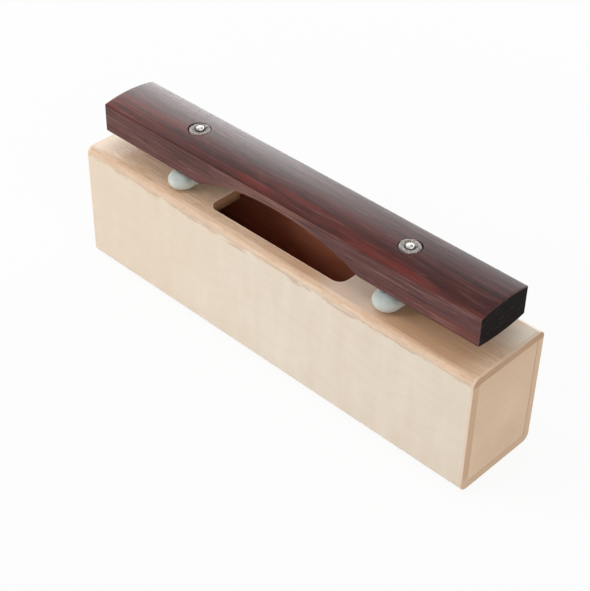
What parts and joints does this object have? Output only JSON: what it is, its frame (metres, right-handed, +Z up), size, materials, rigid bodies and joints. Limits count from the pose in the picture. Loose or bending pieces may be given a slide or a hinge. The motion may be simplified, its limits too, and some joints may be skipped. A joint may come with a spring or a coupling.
{
  "type": "resonator bar",
  "caption": "Tuned rosewood bar held by pins on soft pads above a slotted wooden resonator box; struck with a mallet to sound its note.",
  "frame": {"origin": "middle of the box's underside", "axes": "+X along the bar and box, +Z up, -Y the front"},
  "size_m": [0.3, 0.059, 0.1121],
  "materials": {
    "maple_board": "satin clear lacquer on pale veneer",
    "beech_board": "satin clear lacquer",
    "rosewood": "oiled, softly polished",
    "inner_block": "raw",
    "pad_silicone": "milky, satin",
    "pin_steel": "bright",
    "washer_felt": "pressed felt"
  },
  "bodies": {
    "box": {"box_top": "beech_board", "box_bottom": "beech_board", "box_front": "maple_board", "box_rear": "maple_board", "left_end_panel": "maple_board", "right_end_panel": "maple_board", "left_pad": "pad_silicone", "right_pad": "pad_silicone", "left_pin": "pin_steel", "right_pin": "pin_steel", "left_pin_block": "inner_block", "right_pin_block": "inner_block"},
    "bar": {"tone_bar": "rosewood", "left_washer": "washer_felt", "right_washer": "washer_felt"}
  },
  "joints": [
    {"name": "bar_press", "type": "slide", "parent": "box", "child": "bar", "axis": [0, 0, 1], "range_m": [-0.0012, 0], "stiffness_N_per_m": 8000, "springref_m": 0.0004, "deforming": ["left_pad", "right_pad"]}
  ]
}
